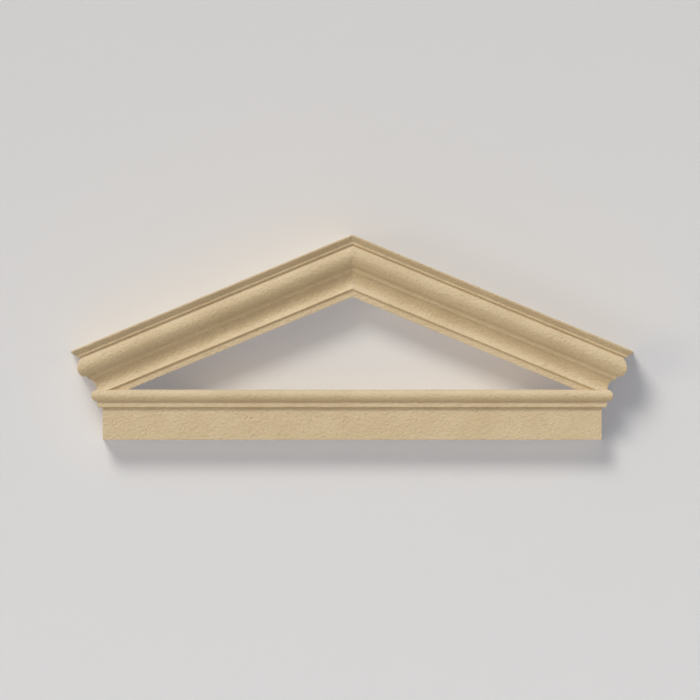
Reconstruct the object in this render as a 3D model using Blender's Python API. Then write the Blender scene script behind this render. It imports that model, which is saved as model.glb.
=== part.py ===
"""An open wall pediment: a horizontal base moulding and two raking cornices coped onto it.

Each of the three is a straight length of sand-coated foam moulding. The mouldings return to
the wall at both ends, the cornices meet in a vertical mitre at the apex, and the wall shows
through the triangle between them.

Units are metres and +Z is up. The wall is the plane y = 0 and the pediment's front faces -Y.
The origin is the middle of the base moulding's flat back.
"""
import math

import bmesh
import bpy
from mathutils import Vector

# Overall sizes
BASE_LENGTH = 1.200
BODY_DEPTH = 0.095
PITCH = math.radians(22.5)
GLUE_GAP = 0.0003

# Base moulding, from the bottom up. Every "out" is measured forward from the fascia's face.
FASCIA_HEIGHT = 0.0775
BASE_FILLET_HEIGHT = 0.0115
BASE_FILLET_OUT = 0.0105
TORUS_RADIUS = 0.0168

# Raking cornice, as its mitred end shows it, from the top down
CAP_OUT = 0.0754
CAP_FILLET_HEIGHT = 0.0050
CAP_SOFFIT_WIDTH = 0.0125
COVE_WIDTH = 0.0070
COVE_HEIGHT = 0.0072
COVE_HOLLOW = 0.0014
CAP_LIST_HEIGHT = 0.0026
OVOLO_OUT = 0.0588
OVOLO_RADIUS = 0.0257
SCOTIA_TOP_OUT = 0.0238
SCOTIA_FOOT_OUT = 0.0209
SCOTIA_HEIGHT = 0.0419
SCOTIA_HOLLOW = 0.0112
LIP_HEIGHT = 0.0012
FOOT_FILLET_OUT = 0.0100
FOOT_FILLET_HEIGHT = 0.0164

# Facets on the round members
TORUS_STEPS = 20
COVE_STEPS = 4
OVOLO_STEPS = 28
SCOTIA_STEPS = 18
SHARP_EDGE_ANGLE = math.radians(28)

# Finish
SAND_COLOUR = (0.560, 0.430, 0.255, 1.0)
SAND_ROUGHNESS = 0.92

# Heights and places that follow from the sizes above
TORUS_HEIGHT = 2 * TORUS_RADIUS
TORUS_OUT = BASE_FILLET_OUT + TORUS_RADIUS
BASE_HEIGHT = FASCIA_HEIGHT + BASE_FILLET_HEIGHT + TORUS_HEIGHT
BASE_BOTTOM = -BASE_HEIGHT / 2
BASE_TOP = BASE_HEIGHT / 2
TORUS_UNDERSIDE = BASE_TOP - TORUS_HEIGHT
HALF_LENGTH = BASE_LENGTH / 2
CAP_HEIGHT = CAP_FILLET_HEIGHT + COVE_HEIGHT + CAP_LIST_HEIGHT
OVOLO_HEIGHT = 2 * OVOLO_RADIUS
CORNICE_HEIGHT = CAP_HEIGHT + OVOLO_HEIGHT + SCOTIA_HEIGHT + LIP_HEIGHT + FOOT_FILLET_HEIGHT
CORNICE_FOOT = TORUS_UNDERSIDE
CORNICE_TOP = CORNICE_FOOT + CORNICE_HEIGHT


def clear_scene():
    """Removes every object that the file opened with."""
    for old in list(bpy.data.objects):
        bpy.data.objects.remove(old, do_unlink=True)


def bulge(centre, radius, start, end, steps):
    """Points (out, up) of a round member, from the angle start to end, 0 being straight out."""
    points = []
    for step in range(steps + 1):
        angle = start + (end - start) * step / steps
        points.append((centre[0] + radius * math.cos(angle), centre[1] + radius * math.sin(angle)))
    return points


def hollow(top, foot, depth, steps):
    """Points (out, up) of the arc from top to foot that sinks by depth behind their chord."""
    top = Vector(top)
    foot = Vector(foot)
    down = (foot - top).normalized()
    inward = Vector((down.y, -down.x))
    half_chord = (foot - top).length / 2
    half_angle = 2 * math.atan2(depth, half_chord)
    radius = half_chord / math.sin(half_angle)
    centre = (top + foot) / 2 - inward * radius * math.cos(half_angle)
    points = []
    for step in range(steps + 1):
        angle = half_angle * (2 * step / steps - 1)
        point = centre + radius * (inward * math.cos(angle) + down * math.sin(angle))
        points.append((point.x, point.y))
    return points


def base_profile():
    """The base moulding's face, from the torus's crown down to the fascia's lower edge."""
    torus_centre = (BASE_FILLET_OUT, BASE_TOP - TORUS_RADIUS)
    fillet_foot = TORUS_UNDERSIDE - BASE_FILLET_HEIGHT
    points = bulge(torus_centre, TORUS_RADIUS, math.pi / 2, -math.pi / 2, TORUS_STEPS)
    points += [(BASE_FILLET_OUT, fillet_foot), (0.0, fillet_foot), (0.0, BASE_BOTTOM)]
    return points


def cornice_profile():
    """The raking cornice's face as its mitred end shows it, from the cap down to the foot."""
    cap_foot = CORNICE_TOP - CAP_FILLET_HEIGHT
    cove_top = (CAP_OUT - CAP_SOFFIT_WIDTH, cap_foot)
    cove_foot = (cove_top[0] - COVE_WIDTH, cap_foot - COVE_HEIGHT)
    list_foot = cove_foot[1] - CAP_LIST_HEIGHT
    ovolo_centre = (OVOLO_OUT - OVOLO_RADIUS, list_foot - OVOLO_RADIUS)
    ovolo_foot = list_foot - OVOLO_HEIGHT
    scotia_foot = ovolo_foot - SCOTIA_HEIGHT
    lip_foot = scotia_foot - LIP_HEIGHT
    points = [(CAP_OUT, CORNICE_TOP), (CAP_OUT, cap_foot)]
    points += hollow(cove_top, cove_foot, COVE_HOLLOW, COVE_STEPS)
    points += [(cove_foot[0], list_foot)]
    points += bulge(ovolo_centre, OVOLO_RADIUS, math.pi / 2, -math.pi / 2, OVOLO_STEPS)
    scotia_top = (SCOTIA_TOP_OUT, ovolo_foot)
    scotia_lip = (SCOTIA_FOOT_OUT, scotia_foot)
    points += hollow(scotia_top, scotia_lip, SCOTIA_HOLLOW, SCOTIA_STEPS)
    points += [(SCOTIA_FOOT_OUT, lip_foot), (FOOT_FILLET_OUT, lip_foot)]
    points += [(FOOT_FILLET_OUT, CORNICE_FOOT)]
    return points


def sand_coat(name):
    """The coated foam's material."""
    material = bpy.data.materials.new(name)
    material.use_nodes = True
    shader = material.node_tree.nodes["Principled BSDF"]
    shader.inputs["Base Color"].default_value = SAND_COLOUR
    shader.inputs["Roughness"].default_value = SAND_ROUGHNESS
    shader.inputs["Metallic"].default_value = 0.0
    material.diffuse_color = SAND_COLOUR
    return material


def wall_moulding(name, rows, end_loops):
    """A closed object from rows of points, bridged in turn, and the flat loops that close it.

    Each row runs down the same profile. A loop in end_loops lists (row, place) pairs, or
    points of its own, in order around one flat face.
    """
    model = bmesh.new()
    grid = [[model.verts.new(point) for point in row] for row in rows]
    for row, next_row in zip(grid, grid[1:]):
        for place in range(len(row) - 1):
            model.faces.new((row[place], row[place + 1], next_row[place + 1], next_row[place]))
    extra = {}
    for loop in end_loops:
        corners = []
        for item in loop:
            if isinstance(item, Vector):
                key = item.to_tuple(6)
                if key not in extra:
                    extra[key] = model.verts.new(item)
                corners.append(extra[key])
            else:
                corners.append(grid[item[0]][item[1]])
        model.faces.new(corners)
    bmesh.ops.recalc_face_normals(model, faces=model.faces)
    mesh = bpy.data.meshes.new(name)
    model.to_mesh(mesh)
    model.free()
    mesh.shade_smooth()
    mesh.set_sharp_from_angle(angle=SHARP_EDGE_ANGLE)
    moulding = bpy.data.objects.new(name, mesh)
    bpy.context.scene.collection.objects.link(moulding)
    return moulding


def returned_length(name, profile, back):
    """A level length with its profile turned back at both ends, to the plane y = back."""
    rows = [
        [(-(HALF_LENGTH + out), back, up) for out, up in profile],
        [(-(HALF_LENGTH + out), -(BODY_DEPTH + out), up) for out, up in profile],
        [(HALF_LENGTH + out, -(BODY_DEPTH + out), up) for out, up in profile],
        [(HALF_LENGTH + out, back, up) for out, up in profile],
    ]
    foot = len(profile) - 1
    top_face = [(row, 0) for row in range(4)]
    bottom_face = [(row, foot) for row in range(4)]
    back_face = [(0, place) for place in range(foot + 1)]
    back_face += [(3, place) for place in range(foot, -1, -1)]
    return wall_moulding(name, rows, [top_face, bottom_face, back_face])


def base_moulding():
    """The level moulding that the cornices stand on."""
    base = returned_length("base_moulding", base_profile(), 0.0)
    base.data.materials.append(sand_coat("base_sand_coat"))
    return base


def cope_cutter():
    """The room that the base takes out of the cornices: its torus and top, a glue gap larger."""
    torus_centre = (BASE_FILLET_OUT, BASE_TOP - TORUS_RADIUS)
    profile = bulge(torus_centre, TORUS_RADIUS + GLUE_GAP, math.pi / 2, 0.0, TORUS_STEPS // 2)
    profile += [(TORUS_OUT + GLUE_GAP, BASE_BOTTOM)]
    cutter = returned_length("cope_cutter", profile, BODY_DEPTH)
    cutter.hide_render = True
    cutter.display_type = "WIRE"
    return cutter


def raking_cornice(name, side, cutter):
    """One raking cornice; side is -1 for the left one and 1 for the right one.

    The profile starts at the corner mitre and rises along the rake, so a point that stands
    further out starts further from the middle and lies higher over any one place.
    """
    profile = cornice_profile()
    slope = math.tan(PITCH)
    apex = GLUE_GAP / 2

    def rise(out):
        return slope * (HALF_LENGTH + out - apex)

    rows = [
        [(side * (HALF_LENGTH + out), 0.0, up) for out, up in profile],
        [(side * (HALF_LENGTH + out), -(BODY_DEPTH + out), up) for out, up in profile],
        [(side * apex, -(BODY_DEPTH + out), up + rise(out)) for out, up in profile],
    ]
    foot = len(profile) - 1
    top_back = Vector((side * apex, 0.0, CORNICE_TOP + rise(CAP_OUT)))
    foot_back = Vector((side * apex, 0.0, CORNICE_FOOT + rise(FOOT_FILLET_OUT)))
    top_face = [(0, 0), (1, 0), (2, 0), top_back]
    bottom_face = [(0, foot), (1, foot), (2, foot), foot_back]
    back_face = [(0, place) for place in range(foot + 1)] + [foot_back, top_back]
    apex_face = [(2, place) for place in range(foot + 1)] + [foot_back, top_back]
    cornice = wall_moulding(name, rows, [top_face, bottom_face, back_face, apex_face])
    cornice.data.materials.append(sand_coat(name + "_sand_coat"))
    cope = cornice.modifiers.new("cope over the base", "BOOLEAN")
    cope.operation = "DIFFERENCE"
    cope.solver = "EXACT"
    cope.object = cutter
    return cornice


def main():
    clear_scene()
    base_moulding()
    cutter = cope_cutter()
    raking_cornice("left_raking_cornice", -1, cutter)
    raking_cornice("right_raking_cornice", 1, cutter)


main()
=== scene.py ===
import math

import bmesh
import bpy
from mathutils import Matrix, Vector


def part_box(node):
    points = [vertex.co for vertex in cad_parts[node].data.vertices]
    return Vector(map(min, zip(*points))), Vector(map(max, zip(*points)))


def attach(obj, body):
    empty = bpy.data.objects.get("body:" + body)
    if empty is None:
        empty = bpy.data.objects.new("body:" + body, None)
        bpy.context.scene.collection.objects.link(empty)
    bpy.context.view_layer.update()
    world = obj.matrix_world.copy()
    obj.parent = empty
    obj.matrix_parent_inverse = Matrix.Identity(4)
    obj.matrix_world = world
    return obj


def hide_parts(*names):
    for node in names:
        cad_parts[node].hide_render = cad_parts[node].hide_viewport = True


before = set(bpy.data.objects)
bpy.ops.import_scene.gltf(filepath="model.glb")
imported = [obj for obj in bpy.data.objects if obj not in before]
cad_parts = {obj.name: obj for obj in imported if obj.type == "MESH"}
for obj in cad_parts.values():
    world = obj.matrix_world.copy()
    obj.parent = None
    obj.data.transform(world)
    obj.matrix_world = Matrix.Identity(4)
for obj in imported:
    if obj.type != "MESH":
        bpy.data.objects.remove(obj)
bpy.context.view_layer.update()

# The mouldings' own sizes, in metres. Every "out" is measured forward from the fascia's face.
PITCH = math.radians(22.5)
GLUE_GAP = 0.0003
BASE_FILLET_HEIGHT = 0.0147
BASE_FILLET_OUT = 0.0121
BASE_FILLET_FALL = 0.0016
TORUS_RADIUS = 0.0152
CAP_OUT = 0.0754
CAP_FILLET_HEIGHT = 0.0060
CAP_SOFFIT_WIDTH = 0.0085
CAP_SOFFIT_FALL = 0.0044
COVE_WIDTH = 0.0055
COVE_HEIGHT = 0.0022
COVE_TURN = math.radians(36)
CAP_LIST_HEIGHT = 0.0049
OVOLO_OUT = 0.0600
OVOLO_TOP_OUT = 0.0520
OVOLO_WIDEST_FALL = 0.0244
OVOLO_FOOT_OUT = 0.0453
OVOLO_FOOT_FALL = 0.0203
NECK_FILLET_OUT = 0.0375
NECK_FILLET_SLANT = 0.0060
NECK_FILLET_HEIGHT = 0.0085
NECK_OUT = 0.0268
SCOTIA_FOOT_OUT = 0.0209
SCOTIA_HEIGHT = 0.0386
SCOTIA_TURN = math.radians(114)
LIP_HEIGHT = 0.0030
LIP_SOFFIT_FALL = 0.0016
FOOT_FILLET_OUT = 0.0145
CORNICE_SINK = 0.0336

# Where the mouldings lie, taken from the frame
base_low, base_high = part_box("base_moulding")
TORUS_OUT = BASE_FILLET_OUT + TORUS_RADIUS
HALF_LENGTH = base_high.x - TORUS_OUT
BODY_DEPTH = -base_low.y - TORUS_OUT
BASE_TOP = base_high.z
BASE_BOTTOM = base_low.z
TORUS_UNDERSIDE = BASE_TOP - 2 * TORUS_RADIUS
CORNICE_FOOT = BASE_TOP - CORNICE_SINK
FASCIA_TOP = TORUS_UNDERSIDE - BASE_FILLET_HEIGHT
SLOPE = math.tan(PITCH)
APEX_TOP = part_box("left_raking_cornice")[1].z
CORNICE_TOP = APEX_TOP - SLOPE * (HALF_LENGTH + CAP_OUT - GLUE_GAP / 2)

# How finely the coat is modelled
SPACING = 0.0025
ARRIS = 0.0010
BEYOND = 0.020
MERGE = 0.00001
ON_PLANE = 0.00002
CUT_THRESHOLD = ON_PLANE / 10
PARALLEL = 0.9999
NEARLY_SQUARE = 0.999
SHARP_TURN = math.radians(25)
SMOOTH_TURN = math.radians(40)
WEAR_PASSES = 2
WEAR_STRENGTH = 0.5
LONG_EDGE = 4 * SPACING
MOST_PARTS = 80
INTO_WALL = Vector((0, 1, 0))
LEVEL = Vector((1, 0, 0))
RAKE = Vector((math.cos(PITCH), 0, math.sin(PITCH)))

# Names, sizes and depths of the coat's relief
RELIEF = [
    ("broad unevenness", 0.045, 0.0006),
    ("sand lumps", 0.009, 0.0006),
    ("sand grain", 0.0040, 0.0011),
]

# The finishes' colours
SAND_DEEP = (0.694, 0.528, 0.314)
SAND_PALE = (0.745, 0.580, 0.355)
SAND_RUSSET = (0.672, 0.490, 0.286)
# Painted highlight: a paler copy of the sand colour, laid on the fine grains' crowns
SAND_PAINTED_CROWN_HIGHLIGHT = (0.780, 0.632, 0.430)
# Painted shade: a darkened copy of the sand colour, laid into the pits between the grains
SAND_PAINTED_PIT_SHADE = (0.420, 0.310, 0.190)
FOAM_WHITE = (0.70, 0.675, 0.61)
FOAM_DUSTY = (0.685, 0.652, 0.582)
# Painted shade: a darkened copy of the foam colour, laid into the pits between the beads
FOAM_PAINTED_PIT_SHADE = (0.48, 0.45, 0.38)

# The coat's patches and grains, and how much each shows in its colour, sheen and relief
BLOTCHES = {"Patches per metre": 11.0}
PATCHES = {"Patches per metre": 70.0}
COARSE_SAND = {"Grains per metre": 170.0, "Share of pits": 0.30}
FINE_SAND = {"Grains per metre": 360.0, "Share of pits": 0.36}
RUSSET_SHARE = 0.14
# How strongly the fine grains' crowns take that painted highlight, by their height
CROWN_HIGHLIGHT_SHARE = 0.12
# How strongly the fine and coarse pits take that painted shade
FINE_PIT_SHADE_SHARE = 0.08
COARSE_PIT_SHADE_SHARE = 0.05
COAT_ROUGHNESS = 0.95
GRAIN_SHEEN = 0.08
COAT_SPECULAR = 0.25
COARSE_BUMP = {"distance": 0.0022, "strength": 0.85}
FINE_BUMP = {"distance": 0.0009, "strength": 0.65}

# The foam's smudges and beads, and the painted shade in the pits between the beads
SMUDGES = {"Patches per metre": 25.0}
BEADS = {"Grains per metre": 260.0, "Share of pits": 0.20}
BEAD_PIT_SHADE_SHARE = 0.5
FOAM_ROUGHNESS = 0.70
SMUDGE_ROUGHNESS = 0.15
BEAD_BUMP = {"distance": 0.0004, "strength": 0.5}

# How the grain group makes its mounds and pits
GRAIN_SMOOTHNESS = 0.6
MOUND_HEIGHT = 0.6
HOLLOWS_PER_GRAIN = 0.45
PIT_LEVEL = 0.30
PIT_REACH = 0.45
PIT_EDGE = 0.10
PIT_DEPTH = 0.2

# The stage, the camera and the room's light
PIXEL = 0.0024
MIDDLE_X_PIXEL = 352.2
BASE_BOTTOM_PIXEL = 440.3
FRAME_PIXELS = 700
LENS = 1000.0
SENSOR = 36.0
FARTHEST_SEEN = 200
WALL_COLOUR = (0.80, 0.78, 0.765)
FLOOR_COLOUR = (0.62, 0.59, 0.54)
STAGE_SIZE = 8
WALL_GAP = 0.001
WALL_MIDDLE = 0.2
FLOOR_LEVEL = -1.0
ROOM_COLOUR = (1.0, 0.79, 0.58)
ROOM_STRENGTH = 0.11
SUN_DISTANCE = 3
SUN_SPREAD = 20


def deselect_everything():
    bpy.ops.object.select_all(action="DESELECT")


def take_up(piece):
    """Makes one piece the only one selected, and the active one."""
    deselect_everything()
    bpy.context.view_layer.objects.active = piece
    piece.select_set(True)


def edit(piece):
    """Opens one piece in edit mode with edges to be picked."""
    take_up(piece)
    bpy.ops.object.mode_set(mode="EDIT")
    bpy.ops.mesh.select_mode(type="EDGE")


def leave():
    bpy.ops.object.mode_set(mode="OBJECT")


def pick_edges(piece, wanted):
    """Selects the edges for which wanted(edge, middle, direction) is true."""
    bpy.ops.mesh.select_mode(type="EDGE")
    bpy.ops.mesh.select_all(action="DESELECT")
    mesh = bmesh.from_edit_mesh(piece.data)
    for edge in mesh.edges:
        start, end = edge.verts[0].co, edge.verts[1].co
        if wanted(edge, (start + end) / 2, (end - start).normalized()):
            edge.select_set(True)
    bmesh.update_edit_mesh(piece.data)


def extrude(x, y, z):
    bpy.ops.mesh.extrude_edges_move(TRANSFORM_OT_translate={"value": (x, y, z)})


def cut(point, normal, fill=False):
    """Cuts off everything beyond a plane, on the side that its normal points to."""
    bpy.ops.mesh.select_all(action="SELECT")
    bpy.ops.mesh.bisect(
        plane_co=point, plane_no=normal, use_fill=fill, clear_outer=True, threshold=CUT_THRESHOLD,
    )


class Outline:
    """A moulding's section, drawn point by point behind the wall plane at its left end."""

    def __init__(self, name, out, up):
        deselect_everything()
        bpy.ops.mesh.primitive_plane_add(size=SPACING, location=(-(HALF_LENGTH + out), BEYOND, up))
        self.piece = bpy.context.object
        self.piece.name = name
        bpy.ops.object.transform_apply(location=True, rotation=True, scale=True)
        bpy.ops.object.mode_set(mode="EDIT")
        bpy.ops.mesh.select_mode(type="VERT")
        bpy.ops.mesh.select_all(action="SELECT")
        bpy.ops.mesh.merge(type="CENTER")
        self.end = Vector((out, up))

    def line(self, out, up):
        """A straight run to a point."""
        step = (self.end.x - out, 0.0, up - self.end.y)
        bpy.ops.mesh.extrude_vertices_move(TRANSFORM_OT_translate={"value": step})
        self.end = Vector((out, up))

    def arc(self, out, up, turn):
        """A round run to a point, which bulges out where the turn is positive."""
        start = self.end
        self.end = Vector((out, up))
        chord = self.end - start
        radius = chord.length / 2 / math.sin(abs(turn) / 2)
        forward = Vector((-chord.y, chord.x)).normalized()
        sink = math.copysign(radius * math.cos(turn / 2), turn)
        centre = (start + self.end) / 2 - forward * sink
        bpy.ops.mesh.spin(
            steps=max(2, math.ceil(radius * abs(turn) / SPACING)), angle=turn, axis=(0, 1, 0),
            center=(-(HALF_LENGTH + centre.x), BEYOND, centre.y),
        )

    def swell(self, out, up):
        """A round run to a point, upright at the end that stands further out."""
        self.arc(out, up, 2 * math.atan2(abs(out - self.end.x), abs(up - self.end.y)))

    def finish(self):
        """Rounds the corners by the coat's thickness and divides the long runs."""
        piece = self.piece
        bpy.ops.mesh.select_all(action="DESELECT")
        mesh = bmesh.from_edit_mesh(piece.data)
        for vertex in mesh.verts:
            if len(vertex.link_edges) == 2:
                one, other = [edge.other_vert(vertex).co - vertex.co for edge in vertex.link_edges]
                vertex.select_set(math.pi - one.angle(other) > SHARP_TURN)
        bmesh.update_edit_mesh(piece.data)
        bpy.ops.mesh.bevel(offset=ARRIS, segments=2, affect="VERTICES")
        lengths = {edge.calc_length() for edge in bmesh.from_edit_mesh(piece.data).edges}
        for parts in sorted({math.ceil(length / SPACING) for length in lengths}, reverse=True):
            if parts > 1:
                pick_edges(
                    piece,
                    lambda edge, middle, direction: math.ceil(edge.calc_length() / SPACING) == parts,
                )
                bpy.ops.mesh.subdivide(number_cuts=parts - 1)
        return piece


def draw_base_outline():
    outline = Outline("base_moulding_coat", BASE_FILLET_OUT, BASE_TOP)
    outline.arc(BASE_FILLET_OUT, TORUS_UNDERSIDE, math.pi)
    outline.line(BASE_FILLET_OUT, FASCIA_TOP + BASE_FILLET_FALL)
    outline.line(0.0, FASCIA_TOP)
    outline.line(0.0, BASE_BOTTOM)
    return outline.finish()


def draw_cornice_outline():
    cap_foot = CORNICE_TOP - CAP_FILLET_HEIGHT
    cove_out = CAP_OUT - CAP_SOFFIT_WIDTH
    cove_top = cap_foot - CAP_SOFFIT_FALL
    list_out = cove_out - COVE_WIDTH
    list_foot = cove_top - COVE_HEIGHT - CAP_LIST_HEIGHT
    widest = list_foot - OVOLO_WIDEST_FALL
    ovolo_foot = widest - OVOLO_FOOT_FALL
    neck = ovolo_foot - NECK_FILLET_HEIGHT
    lip = neck - SCOTIA_HEIGHT
    outline = Outline("left_raking_cornice_coat", CAP_OUT, CORNICE_TOP)
    outline.line(CAP_OUT, cap_foot)
    outline.line(cove_out, cove_top)
    outline.arc(list_out, cove_top - COVE_HEIGHT, -COVE_TURN)
    outline.line(list_out, list_foot)
    outline.line(OVOLO_TOP_OUT, list_foot)
    outline.swell(OVOLO_OUT, widest)
    outline.swell(OVOLO_FOOT_OUT, ovolo_foot)
    outline.line(NECK_FILLET_OUT, ovolo_foot)
    outline.line(NECK_FILLET_OUT - NECK_FILLET_SLANT, neck)
    outline.line(NECK_OUT, neck)
    outline.arc(SCOTIA_FOOT_OUT, lip + LIP_HEIGHT, -SCOTIA_TURN)
    outline.line(SCOTIA_FOOT_OUT, lip)
    outline.line(FOOT_FILLET_OUT, lip - LIP_SOFFIT_FALL)
    outline.line(FOOT_FILLET_OUT, CORNICE_FOOT)
    return outline.finish()


def along(direction, axis):
    return abs(direction.dot(axis)) > PARALLEL


def on_mitre(side):
    """A test for the edges that lie in the corner mitre on one side and end the mesh so far."""
    return lambda edge, middle, direction: edge.is_boundary and abs(
        side * middle.x - HALF_LENGTH + middle.y + BODY_DEPTH) < ON_PLANE


def divide_along(piece, axis, parts):
    """Divides the long edges that run along an axis, in rounds of at most MOST_PARTS."""
    rounds = [parts] if parts <= MOST_PARTS else [math.ceil(parts / MOST_PARTS), MOST_PARTS]
    for count in rounds:
        pick_edges(
            piece,
            lambda edge, middle, direction: along(direction, axis)
            and edge.calc_length() > LONG_EDGE,
        )
        bpy.ops.mesh.subdivide(number_cuts=count - 1)


def close_flat_sides(piece, top_out, foot_out, run):
    """Adds the moulding's top and underside, which run straight back past the wall plane."""
    for out in (top_out, foot_out):
        pick_edges(
            piece,
            lambda edge, middle, direction: edge.is_boundary and along(direction, run)
            and abs(middle.y + BODY_DEPTH + out) < ON_PLANE,
        )
        extrude(0, BODY_DEPTH + out + BEYOND, 0)
    bpy.ops.mesh.select_all(action="SELECT")
    bpy.ops.mesh.remove_doubles(threshold=MERGE)
    divide_along(piece, INTO_WALL, math.ceil((BODY_DEPTH + top_out) / SPACING))
    bpy.ops.mesh.select_all(action="SELECT")
    bpy.ops.mesh.normals_make_consistent(inside=False)


def wear_arrises():
    """Rubs down the sharp arrises that the outline didn't round, such as those of the mitres."""
    for _ in range(WEAR_PASSES):
        bpy.ops.mesh.select_mode(type="EDGE")
        bpy.ops.mesh.select_all(action="DESELECT")
        bpy.ops.mesh.edges_select_sharp(sharpness=SHARP_TURN)
        bpy.ops.mesh.vertices_smooth(factor=WEAR_STRENGTH)


def returned_run(piece):
    """Runs an outline forward from the wall, along the front and back to the wall, mitred."""
    bpy.ops.mesh.select_mode(type="EDGE")
    bpy.ops.mesh.select_all(action="SELECT")
    extrude(0, -(BODY_DEPTH + TORUS_OUT + 2 * BEYOND), 0)
    cut((-HALF_LENGTH, -BODY_DEPTH, 0), (1, -1, 0))
    pick_edges(piece, on_mitre(-1))
    extrude(2 * (HALF_LENGTH + TORUS_OUT) + BEYOND, 0, 0)
    cut((HALF_LENGTH, -BODY_DEPTH, 0), (1, 1, 0))
    pick_edges(piece, on_mitre(1))
    extrude(0, BODY_DEPTH + TORUS_OUT + 2 * BEYOND, 0)
    cut((0, BEYOND, 0), INTO_WALL)


def base_moulding():
    """The level moulding, with its section returned to the wall at both ends."""
    piece = draw_base_outline()
    returned_run(piece)
    divide_along(piece, LEVEL, math.ceil(2 * HALF_LENGTH / SPACING))
    close_flat_sides(piece, BASE_FILLET_OUT, 0.0, LEVEL)
    wear_arrises()
    leave()
    return piece


def left_cornice():
    """The left raking cornice, from its return at the wall to a little past the apex."""
    piece = draw_cornice_outline()
    bpy.ops.mesh.select_all(action="SELECT")
    extrude(0, -(BODY_DEPTH + CAP_OUT + 2 * BEYOND), 0)
    cut((-HALF_LENGTH, -BODY_DEPTH, 0), (1, -1, 0))
    pick_edges(piece, on_mitre(-1))
    run = HALF_LENGTH + CAP_OUT + BEYOND
    extrude(run, 0, run * SLOPE)
    divide_along(piece, RAKE, math.ceil(run / math.cos(PITCH) / SPACING))
    close_flat_sides(piece, CAP_OUT, FOOT_FILLET_OUT, RAKE)
    wear_arrises()
    pick_edges(piece, lambda edge, middle, direction: edge.is_boundary and middle.x > -CAP_OUT)
    bpy.ops.mesh.edge_face_add()
    leave()
    return piece


def other_hand(piece, name):
    """A mirrored copy of a moulding, with a mesh of its own."""
    take_up(piece)
    bpy.ops.object.duplicate(linked=False)
    copy = bpy.context.object
    copy.name = name
    edit(copy)
    bpy.ops.mesh.select_all(action="SELECT")
    bpy.ops.transform.resize(value=(-1, 1, 1), center_override=(0, 0, 0))
    bpy.ops.mesh.normals_make_consistent(inside=False)
    leave()
    return copy


def sand_relief(piece):
    """Presses the coat's unevenness and grain into the surface, never out of it."""
    take_up(piece)
    for name, size, depth in RELIEF:
        texture = bpy.data.textures.get(name) or bpy.data.textures.new(name, type="CLOUDS")
        texture.noise_scale = size
        texture.noise_basis = "IMPROVED_PERLIN"
        texture.noise_depth = 1
        bpy.ops.object.modifier_add(type="DISPLACE")
        relief = piece.modifiers[-1]
        relief.texture = texture
        relief.texture_coords = "LOCAL"
        relief.strength = depth
        relief.mid_level = 1.0
        bpy.ops.object.modifier_apply(modifier=relief.name)


def trim(piece, apex_side):
    """Cuts a moulding flat at the wall, and a cornice also at the apex and inside the base."""
    edit(piece)
    cut((0, 0, 0), INTO_WALL, fill=True)
    if apex_side:
        cut((apex_side * GLUE_GAP / 2, 0, 0), (-apex_side, 0, 0), fill=True)
        cut((0, 0, BASE_TOP - TORUS_RADIUS), (0, 0, -1), fill=True)
    leave()


def cope(cornice, base):
    """Cuts a cornice's foot to the shape of the base that it stands on."""
    take_up(cornice)
    bpy.ops.object.modifier_add(type="BOOLEAN")
    scribe = cornice.modifiers[-1]
    scribe.operation = "DIFFERENCE"
    scribe.solver = "MANIFOLD"
    scribe.object = base
    bpy.ops.object.modifier_apply(modifier=scribe.name)


base = base_moulding()
left = left_cornice()
right = other_hand(left, "right_raking_cornice_coat")
for piece, side in ((base, 0), (left, -1), (right, 1)):
    sand_relief(piece)
    trim(piece, side)
    if side:
        cope(piece, base)


def start_group(name, inputs, outputs):
    """An empty node group with a vector, named number inputs and named outputs."""
    group = bpy.data.node_groups.new(name, "ShaderNodeTree")
    group.interface.new_socket("Vector", in_out="INPUT", socket_type="NodeSocketVector")
    for socket, value in inputs:
        made = group.interface.new_socket(socket, in_out="INPUT", socket_type="NodeSocketFloat")
        made.default_value = value
    for socket in outputs:
        group.interface.new_socket(socket, in_out="OUTPUT", socket_type="NodeSocketFloat")
    entry = group.nodes.new("NodeGroupInput")
    leaving = group.nodes.new("NodeGroupOutput")
    return group, entry.outputs, leaving.inputs


def arithmetic(tree, operation, first, second):
    """A Math node on two sockets or numbers; its value."""
    node = tree.nodes.new("ShaderNodeMath")
    node.operation = operation
    for place, item in enumerate((first, second)):
        if isinstance(item, (int, float)):
            node.inputs[place].default_value = item
        else:
            tree.links.new(item, node.inputs[place])
    return node.outputs[0]


def noise(tree, vector, scale, detail, roughness):
    node = tree.nodes.new("ShaderNodeTexNoise")
    tree.links.new(vector, node.inputs["Vector"])
    tree.links.new(scale, node.inputs["Scale"])
    node.inputs["Detail"].default_value = detail
    node.inputs["Roughness"].default_value = roughness
    return node.outputs["Fac"]


def ramp(tree, value, low, high):
    """Stretches the part of a value between low and high over the range from 0 to 1."""
    node = tree.nodes.new("ShaderNodeMapRange")
    node.interpolation_type = "SMOOTHSTEP"
    tree.links.new(value, node.inputs["Value"])
    node.inputs["From Min"].default_value = low
    node.inputs["From Max"].default_value = high
    return node.outputs["Result"]


def mottling_group():
    """Soft patches of a given number a metre, from 0 to 1."""
    group, entry, leaving = start_group("mottling", [("Patches per metre", 60.0)], ["Patches"])
    cloud = noise(group, entry["Vector"], entry["Patches per metre"], detail=2.0, roughness=0.55)
    group.links.new(ramp(group, cloud, low=0.30, high=0.70), leaving["Patches"])
    return group


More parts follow.
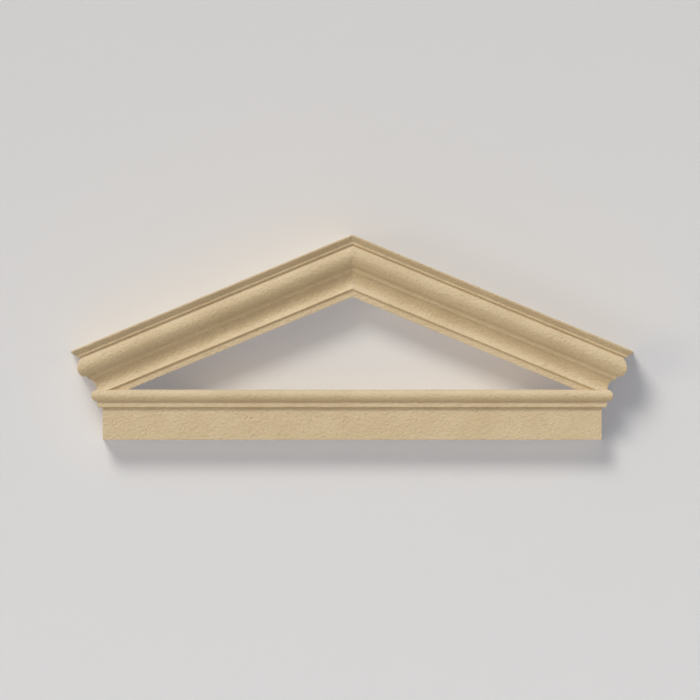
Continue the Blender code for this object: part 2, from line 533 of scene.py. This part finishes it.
def grain_group():
    """Packed sand grains: their height, and a mask of the pits that lie between them."""
    group, entry, leaving = start_group(
        "sand grain", [("Grains per metre", 250.0), ("Share of pits", 0.3)], ["Height", "Pits"])
    cells = group.nodes.new("ShaderNodeTexVoronoi")
    cells.feature = "SMOOTH_F1"
    cells.inputs["Smoothness"].default_value = GRAIN_SMOOTHNESS
    group.links.new(entry["Vector"], cells.inputs["Vector"])
    group.links.new(entry["Grains per metre"], cells.inputs["Scale"])
    drift = noise(group, entry["Vector"], entry["Grains per metre"], detail=3.0, roughness=0.6)
    mounds = arithmetic(group, "SUBTRACT", 1.0, cells.outputs["Distance"])
    height = arithmetic(group, "ADD", arithmetic(group, "MULTIPLY", mounds, MOUND_HEIGHT), drift)
    coarse = arithmetic(group, "MULTIPLY", entry["Grains per metre"], HOLLOWS_PER_GRAIN)
    hollows = noise(group, entry["Vector"], coarse, detail=2.0, roughness=0.7)
    reach = arithmetic(group, "MULTIPLY", entry["Share of pits"], PIT_REACH)
    level = arithmetic(group, "ADD", PIT_LEVEL, reach)
    pits = ramp(group, arithmetic(group, "SUBTRACT", level, hollows), low=0.0, high=PIT_EDGE)
    sunk = arithmetic(group, "MULTIPLY", pits, PIT_DEPTH)
    group.links.new(arithmetic(group, "SUBTRACT", height, sunk), leaving["Height"])
    group.links.new(pits, leaving["Pits"])
    return group


def blend(tree, share, first, second):
    """A colour between two others, each a socket or a plain colour."""
    node = tree.nodes.new("ShaderNodeMix")
    node.data_type = "RGBA"
    tree.links.new(share, node.inputs[0])
    for place, item in ((6, first), (7, second)):
        if isinstance(item, tuple):
            node.inputs[place].default_value = (*item, 1)
        else:
            tree.links.new(item, node.inputs[place])
    return node.outputs[2]


def use_group(tree, group, vector, values):
    """Places a group in a material with its own values; its outputs."""
    node = tree.nodes.new("ShaderNodeGroup")
    node.node_tree = group
    tree.links.new(vector, node.inputs["Vector"])
    for socket, value in values.items():
        node.inputs[socket].default_value = value
    return node.outputs


def bump(tree, height, distance, strength, normal=None):
    node = tree.nodes.new("ShaderNodeBump")
    node.inputs["Distance"].default_value = distance
    node.inputs["Strength"].default_value = strength
    tree.links.new(height, node.inputs["Height"])
    if normal:
        tree.links.new(normal, node.inputs["Normal"])
    return node.outputs["Normal"]


def start_material(name):
    material = bpy.data.materials.new(name)
    material.use_nodes = True
    tree = material.node_tree
    place = tree.nodes.new("ShaderNodeTexCoord").outputs["Object"]
    return material, tree, place, tree.nodes["Principled BSDF"].inputs


def sand_coat(mottling, grain):
    """The mouldings' finish: sandstone-coloured sand in a dull binder."""
    material, tree, place, shader = start_material("sand coat")
    blotches = use_group(tree, mottling, place, BLOTCHES)["Patches"]
    patches = use_group(tree, mottling, place, PATCHES)["Patches"]
    coarse = use_group(tree, grain, place, COARSE_SAND)
    fine = use_group(tree, grain, place, FINE_SAND)
    colour = blend(tree, blotches, SAND_DEEP, SAND_PALE)
    layers = (
        (patches, RUSSET_SHARE, SAND_RUSSET),
        # The fine grains' height lays a painted highlight on their crowns
        (fine["Height"], CROWN_HIGHLIGHT_SHARE, SAND_PAINTED_CROWN_HIGHLIGHT),
        # The pit masks lay painted shade into the pits
        (fine["Pits"], FINE_PIT_SHADE_SHARE, SAND_PAINTED_PIT_SHADE),
        (coarse["Pits"], COARSE_PIT_SHADE_SHARE, SAND_PAINTED_PIT_SHADE),
    )
    for mask, share, tint in layers:
        colour = blend(tree, arithmetic(tree, "MULTIPLY", mask, share), colour, tint)
    tree.links.new(colour, shader["Base Color"])
    sheen = arithmetic(tree, "MULTIPLY", fine["Height"], GRAIN_SHEEN)
    tree.links.new(arithmetic(tree, "SUBTRACT", COAT_ROUGHNESS, sheen), shader["Roughness"])
    shader["Specular IOR Level"].default_value = COAT_SPECULAR
    relief = bump(tree, coarse["Height"], **COARSE_BUMP)
    relief = bump(tree, fine["Height"], **FINE_BUMP, normal=relief)
    tree.links.new(relief, shader["Normal"])
    return material


def bare_foam(mottling, grain):
    """The uncoated foam of the flat backs and of the cut mitres."""
    material, tree, place, shader = start_material("bare foam")
    smudges = use_group(tree, mottling, place, SMUDGES)["Patches"]
    beads = use_group(tree, grain, place, BEADS)
    colour = blend(tree, smudges, FOAM_WHITE, FOAM_DUSTY)
    # Painted shade darkens the pits between the beads
    pit_shade = arithmetic(tree, "MULTIPLY", beads["Pits"], BEAD_PIT_SHADE_SHARE)
    tree.links.new(blend(tree, pit_shade, colour, FOAM_PAINTED_PIT_SHADE), shader["Base Color"])
    dusty = arithmetic(tree, "MULTIPLY", smudges, SMUDGE_ROUGHNESS)
    tree.links.new(arithmetic(tree, "ADD", FOAM_ROUGHNESS, dusty), shader["Roughness"])
    tree.links.new(bump(tree, beads["Height"], **BEAD_BUMP), shader["Normal"])
    return material


def one_way(name, colour):
    """A matt stage surface that shows from its front only."""
    material = bpy.data.materials.new(name)
    material.use_nodes = True
    nodes, links = material.node_tree.nodes, material.node_tree.links
    shader = nodes["Principled BSDF"]
    shader.inputs["Base Color"].default_value = (*colour, 1)
    shader.inputs["Roughness"].default_value = 1.0
    shader.inputs["Specular IOR Level"].default_value = 0.0
    clear = nodes.new("ShaderNodeBsdfTransparent")
    side = nodes.new("ShaderNodeNewGeometry")
    mix = nodes.new("ShaderNodeMixShader")
    links.new(side.outputs["Backfacing"], mix.inputs[0])
    links.new(shader.outputs[0], mix.inputs[1])
    links.new(clear.outputs[0], mix.inputs[2])
    links.new(mix.outputs[0], nodes["Material Output"].inputs["Surface"])
    return material


mottling, grain = mottling_group(), grain_group()
coat, foam = sand_coat(mottling, grain), bare_foam(mottling, grain)
solids = ("base_moulding", "left_raking_cornice", "right_raking_cornice")
for piece, node in zip((base, left, right), solids):
    take_up(piece)
    bpy.ops.object.shade_smooth_by_angle(angle=SMOOTH_TURN)
    piece.data.materials.clear()
    piece.data.materials.append(coat)
    piece.data.materials.append(foam)
    for face in piece.data.polygons:
        at_back = face.center.y > -ON_PLANE
        at_mitre = abs(face.center.x) < GLUE_GAP
        cut_square = at_mitre and abs(face.normal.x) > NEARLY_SQUARE
        face.material_index = 1 if at_back or cut_square else 0
    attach(piece, "root")
    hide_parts(node)

# The stage: a wall just behind the object and a floor well below it
deselect_everything()
upright = (math.radians(90), 0, 0)
bpy.ops.mesh.primitive_plane_add(
    size=STAGE_SIZE, location=(0, WALL_GAP, WALL_MIDDLE), rotation=upright)
wall = bpy.context.object
wall.name = "wall"
wall.data.materials.append(one_way("wall paint", WALL_COLOUR))
bpy.ops.mesh.primitive_plane_add(size=STAGE_SIZE, location=(0, -STAGE_SIZE / 2, FLOOR_LEVEL))
floor = bpy.context.object
floor.name = "floor"
floor.data.materials.append(one_way("floor paint", FLOOR_COLOUR))

# The camera, far off and level, straight in front of the wall
distance = FRAME_PIXELS * PIXEL * LENS / SENSOR
camera_x = -(MIDDLE_X_PIXEL - FRAME_PIXELS / 2) * PIXEL
camera_z = BASE_BOTTOM + (BASE_BOTTOM_PIXEL - FRAME_PIXELS / 2) * PIXEL
viewpoint = (camera_x, -BODY_DEPTH - distance, camera_z)
bpy.ops.object.camera_add(location=viewpoint, rotation=upright)
camera = bpy.context.object
camera.data.lens = LENS
camera.data.sensor_width = SENSOR
camera.data.clip_end = FARTHEST_SEEN
bpy.context.scene.camera = camera


def studio_room():
    """The dim light from all round, behind a plain pale backdrop for the camera."""
    world = bpy.data.worlds.new("studio")
    world.use_nodes = True
    tree = world.node_tree
    room = tree.nodes["Background"]
    room.inputs["Color"].default_value = (*ROOM_COLOUR, 1)
    room.inputs["Strength"].default_value = ROOM_STRENGTH
    backdrop = tree.nodes.new("ShaderNodeBackground")
    backdrop.inputs["Color"].default_value = (*FLOOR_COLOUR, 1)
    ray = tree.nodes.new("ShaderNodeLightPath")
    seen = tree.nodes.new("ShaderNodeMixShader")
    tree.links.new(ray.outputs["Is Camera Ray"], seen.inputs[0])
    tree.links.new(room.outputs[0], seen.inputs[1])
    tree.links.new(backdrop.outputs[0], seen.inputs[2])
    tree.links.new(seen.outputs[0], tree.nodes["World Output"].inputs["Surface"])
    return world


def soft_sun(name, across, down, into, strength, colour, spread=SUN_SPREAD, casts_shadow=True):
    """A soft distant light that shines across, down and into the wall by these shares."""
    place = Vector((-across, -into, down)) * SUN_DISTANCE
    bpy.ops.object.light_add(type="SUN", location=place)
    sun = bpy.context.object
    sun.name = name
    sun.rotation_euler = Vector((across, into, -down)).to_track_quat("-Z", "Y").to_euler()
    sun.data.angle = math.radians(spread)
    sun.data.energy = strength
    sun.data.color = colour
    sun.data.use_shadow = casts_shadow


# The lights
bpy.context.scene.view_settings.view_transform = "Standard"
bpy.context.scene.world = studio_room()
soft_sun("key light", 0.35, 0.74, 1, 1.26, (1.0, 0.98, 0.91))
soft_sun("side light", 1.0, 0.0, 1, 0.36, (1.0, 0.88, 0.68))
soft_sun("overhead fill", 0.0, 2.5, 1, 1.50, (0.53, 0.70, 1.0), casts_shadow=False)
soft_sun("upper left fill", 0.5, 1.07, 1, 0.38, (0.95, 0.97, 1.0), spread=45)
soft_sun("back fill", 0.2, 0.0, -1, 0.8, (1.0, 0.95, 0.88), casts_shadow=False)
